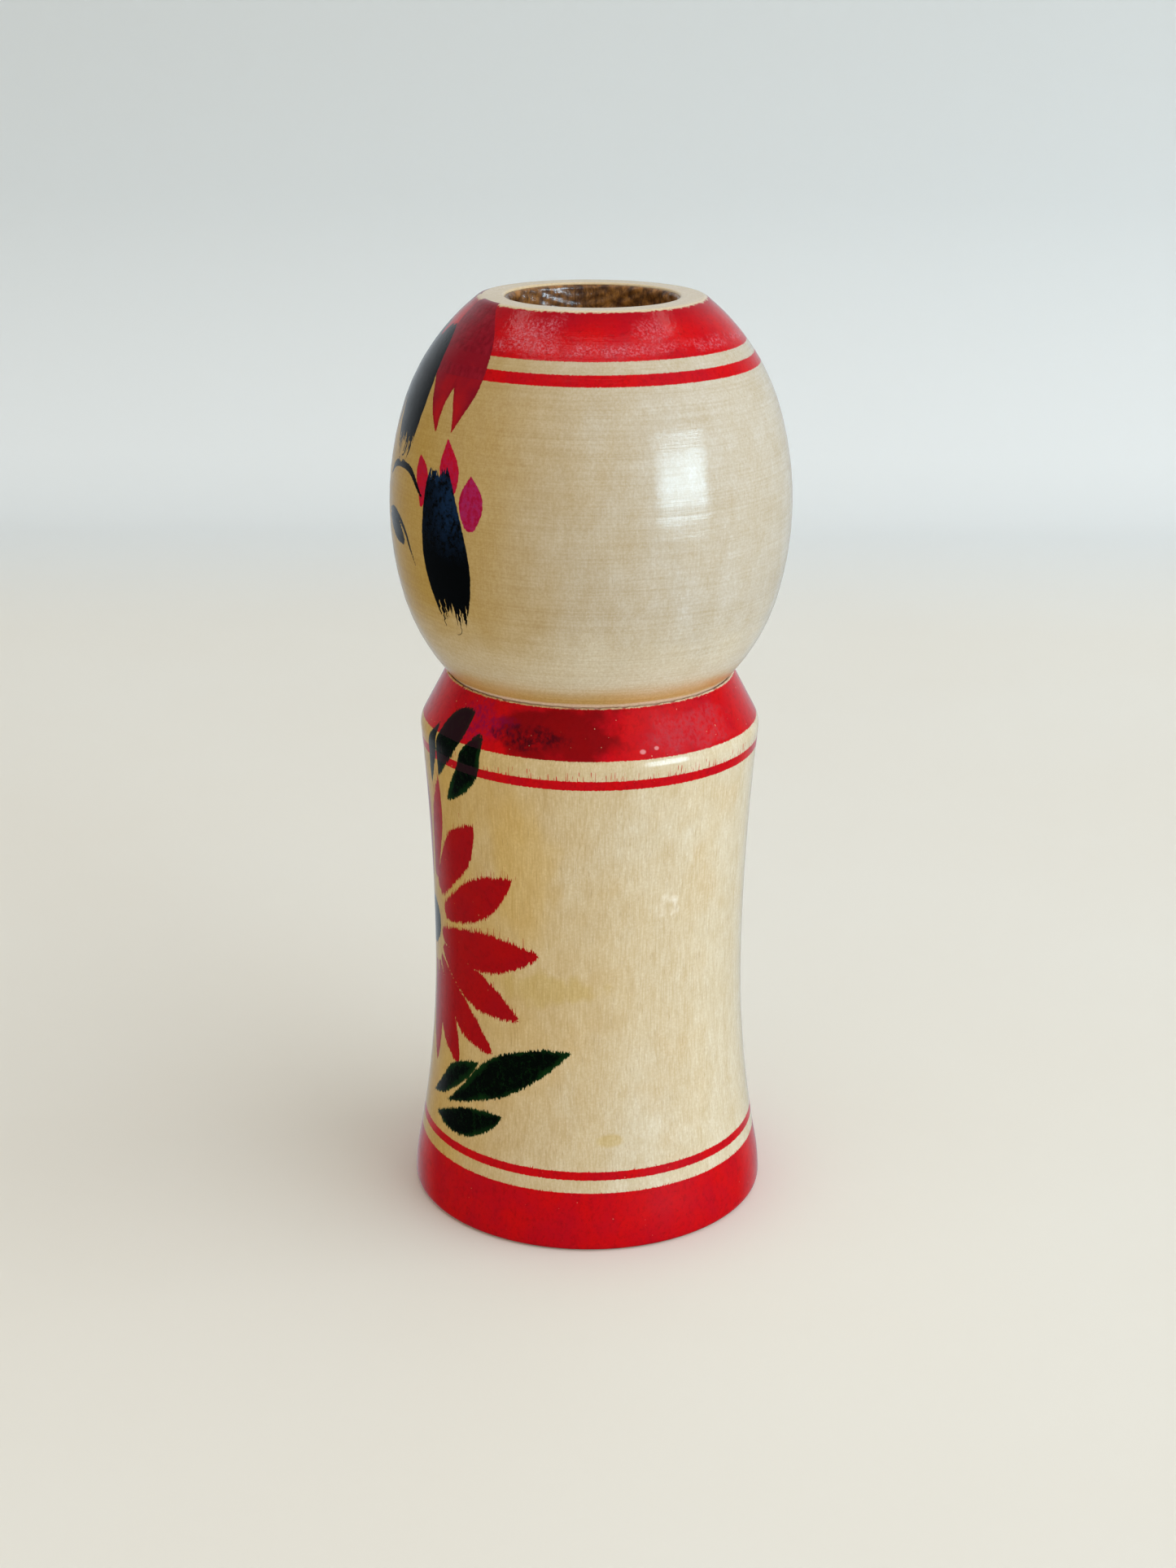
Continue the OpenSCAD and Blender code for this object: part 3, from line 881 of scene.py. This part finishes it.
# The coat has no brushwork, so its columns are almost evenly spaced.
coat, _ = lathe("well_lacquer", coat_outline(), columns(0.01, 1, 1.5), coat_relief)
coat.data.materials.append(lacquer())
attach(coat, "head")
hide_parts("well_coat")


def neck_fibres(count):
    """Short splinters that stand along the neck's edge, each a thin closed wedge."""
    verts, faces = [], []
    for i in range(count):
        angle = rng.uniform(0, 2 * math.pi)
        long, wide = rng.uniform(0.25, 0.44), rng.uniform(0.07, 0.20)
        lean = rng.uniform(-0.5, 0.5)
        out = Vector((math.sin(angle), -math.cos(angle), 0))
        side = Vector((math.cos(angle), math.sin(angle), 0))
        foot_z = NECK_Z - 0.45
        foot = out * (NECK_R - NECK_LAND / 2) + Vector((0, 0, foot_z))
        tip_z = foot_z + long
        tip = out * (float(head_radius(tip_z)) + 0.08) + Vector((0, 0, tip_z)) + side * lean * long
        k = len(verts)
        corners = [foot - side * wide, foot + side * wide, foot - out * 0.12, tip]
        verts += [c * MM for c in corners]
        faces += [(k, k + 1, k + 3), (k + 1, k + 2, k + 3), (k + 2, k, k + 3), (k, k + 2, k + 1)]
    mesh = bpy.data.meshes.new("neck_fibres")
    mesh.from_pydata(verts, [], faces)
    piece = bpy.data.objects.new("neck_fibres", mesh)
    bpy.context.scene.collection.objects.link(piece)
    piece.data.materials.append(raw_fibre())
    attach(piece, "body")


neck_fibres(1500)

# ---------------------------------------------------------------- camera, stage and light

# The studio is laid out as seen from the camera, X to the right and Y away, then turned round the doll.
studio_turn = Matrix.Rotation(math.radians(CAMERA_TURN), 4, "Z")

# Metres and degrees
CAMERA_BACK = 0.360
CAMERA_UP = 0.1905
CAMERA_PITCH = 19.14
CAMERA_ROLL = 0.32
CAMERA_YAW = -0.035
LENS_MM = 57.0

camera_data = bpy.data.cameras.new("camera")
camera_data.sensor_width = 36
camera_data.lens = LENS_MM
camera_data.clip_start = 0.01
camera = bpy.data.objects.new("camera", camera_data)
bpy.context.scene.collection.objects.link(camera)
yaw = Matrix.Rotation(math.radians(-CAMERA_YAW), 4, "Z")
pitch = Matrix.Rotation(math.radians(90 - CAMERA_PITCH), 4, "X")
roll = Matrix.Rotation(math.radians(CAMERA_ROLL), 4, "Z")
camera.matrix_world = studio_turn @ Matrix.Translation((0, -CAMERA_BACK, CAMERA_UP)) @ (yaw @ pitch @ roll)
bpy.context.scene.camera = camera


CREAM_PAPER = (0.835, 0.81, 0.76)
PALE_PAPER = (0.845, 0.83, 0.79)
BLUISH_PAPER = (0.79, 0.83, 0.865)
# Painted shade: the darker paper up the wall.
SHADED_WALL_PAPER = (0.64, 0.675, 0.70)


def sweep():
    """Floor that curves up into a wall behind the doll, in metres. The paper is cooler toward the wall, and
    darker up the wall as painted shade.
    """
    flat_from, flat_to, bend, height, half_width = -1.6, 0.44, 0.10, 1.1, 1.8
    profile = [(flat_from, 0.0), (flat_to, 0.0)]
    for t in np.linspace(0, math.pi / 2, 24)[1:]:
        profile.append((flat_to + bend * math.sin(t), bend * (1 - math.cos(t))))
    profile += [(flat_to + bend, height)]
    verts = [(x, y, z) for y, z in profile for x in (-half_width, half_width)]
    faces = [(2 * i, 2 * i + 1, 2 * i + 3, 2 * i + 2) for i in range(len(profile) - 1)]
    mesh = bpy.data.meshes.new("sweep")
    mesh.from_pydata(verts, [], faces)
    mesh.polygons.foreach_set("use_smooth", [True] * len(faces))
    piece = bpy.data.objects.new("sweep", mesh)
    bpy.context.scene.collection.objects.link(piece)
    piece.matrix_world = studio_turn
    piece.visible_glossy = False
    n = Nodes("paper")
    place = n.add("ShaderNodeTexCoord", output="Object")
    depth = n.add("ShaderNodeSeparateXYZ", {0: place}, output=1)
    height = n.add("ShaderNodeSeparateXYZ", {0: place}, output=2)
    far = n.math("MULTIPLY_ADD", height, 0.5, depth)
    mottle = n.noise(place, 9, 3)
    near_paper = n.mix(n.span(mottle, 0.3, 0.7), CREAM_PAPER, PALE_PAPER)
    colour = n.mix(n.span(far, 0.30, 0.47, smooth=True), near_paper, BLUISH_PAPER)
    # Painted shade: the wall darkens toward its top.
    colour = n.mix(n.span(far, 0.50, 0.64), colour, SHADED_WALL_PAPER)
    paper = n.add("ShaderNodeBsdfPrincipled", {"Base Color": colour, "Roughness": 0.75})
    piece.data.materials.append(n.finish(paper))


sweep()


def softbox(name, toward, distance, size, power, colour=(1, 1, 1), gloss=True, diffuse=True):
    """Area light that points just above the doll's neck. Toward is its angle from the camera to the right,
    and its elevation."""
    turn, rise = map(math.radians, toward)
    direction = Vector((math.sin(turn) * math.cos(rise), -math.cos(turn) * math.cos(rise), math.sin(rise)))
    light = bpy.data.lights.new(name, "AREA")
    light.shape = "RECTANGLE"
    light.size, light.size_y = size
    light.energy = power
    light.color = colour
    lamp = bpy.data.objects.new(name, light)
    lamp.visible_glossy = gloss
    lamp.visible_diffuse = diffuse
    bpy.context.scene.collection.objects.link(lamp)
    target = Vector((0, 0, 0.09))
    place = Matrix.Translation(target + direction * distance)
    lamp.matrix_world = studio_turn @ place @ (-direction).to_track_quat("-Z", "Y").to_matrix().to_4x4()


COOL = (0.82, 0.93, 1.0)
WARM = (1.0, 0.93, 0.80)
GLINT = (0.58, 0.82, 1.0)
MIRRORED_ROOM = (0.86, 0.94, 1)

# The window is two lights, so that its glint in the wax can be smaller and bluer than the light it throws.
softbox("window_glint", (53, 8.5), 1.1, (0.56, 0.42), 18.0, GLINT, diffuse=False)
softbox("window", (68, 27), 1.5, (2.0, 1.5), 17.2, COOL, gloss=False)
softbox("ceiling", (40, 80), 1.6, (1.6, 1.6), 2.2, gloss=False)
for turn in range(-120, 121, 40):
    softbox(f"ring_lamp_{turn}", (turn, 71 - 0.12 * abs(turn)), 1.1, (0.36, 0.10), 0.34, diffuse=False)


def room():
    """Soft even light from all round. The wax mirrors it cooler and dimmer, and brightest toward the wall."""
    world = bpy.data.worlds.new("room")
    world.use_nodes = True
    tree = world.node_tree
    soft = tree.nodes["Background"]
    soft.inputs["Color"].default_value = (*WARM, 1)
    soft.inputs["Strength"].default_value = 0.69
    backward = tree.nodes.new("ShaderNodeVectorMath")
    backward.operation = "DOT_PRODUCT"
    backward.inputs[1].default_value = studio_turn @ Vector((0, 1, 0))
    tree.links.new(tree.nodes.new("ShaderNodeTexCoord").outputs["Generated"], backward.inputs[0])
    brightness = tree.nodes.new("ShaderNodeMapRange")
    for key, value in {"From Min": 0.45, "From Max": 0.97, "To Min": 0.04, "To Max": 0.60}.items():
        brightness.inputs[key].default_value = value
    tree.links.new(backward.outputs["Value"], brightness.inputs["Value"])
    mirrored_room = tree.nodes.new("ShaderNodeBackground")
    mirrored_room.inputs["Color"].default_value = (*MIRRORED_ROOM, 1)
    tree.links.new(brightness.outputs["Result"], mirrored_room.inputs["Strength"])
    choose = tree.nodes.new("ShaderNodeMixShader")
    tree.links.new(tree.nodes.new("ShaderNodeLightPath").outputs["Is Glossy Ray"], choose.inputs["Fac"])
    tree.links.new(soft.outputs[0], choose.inputs[1])
    tree.links.new(mirrored_room.outputs[0], choose.inputs[2])
    tree.links.new(choose.outputs[0], tree.nodes["World Output"].inputs["Surface"])
    bpy.context.scene.world = world


room()
bpy.context.scene.view_settings.view_transform = "Standard"
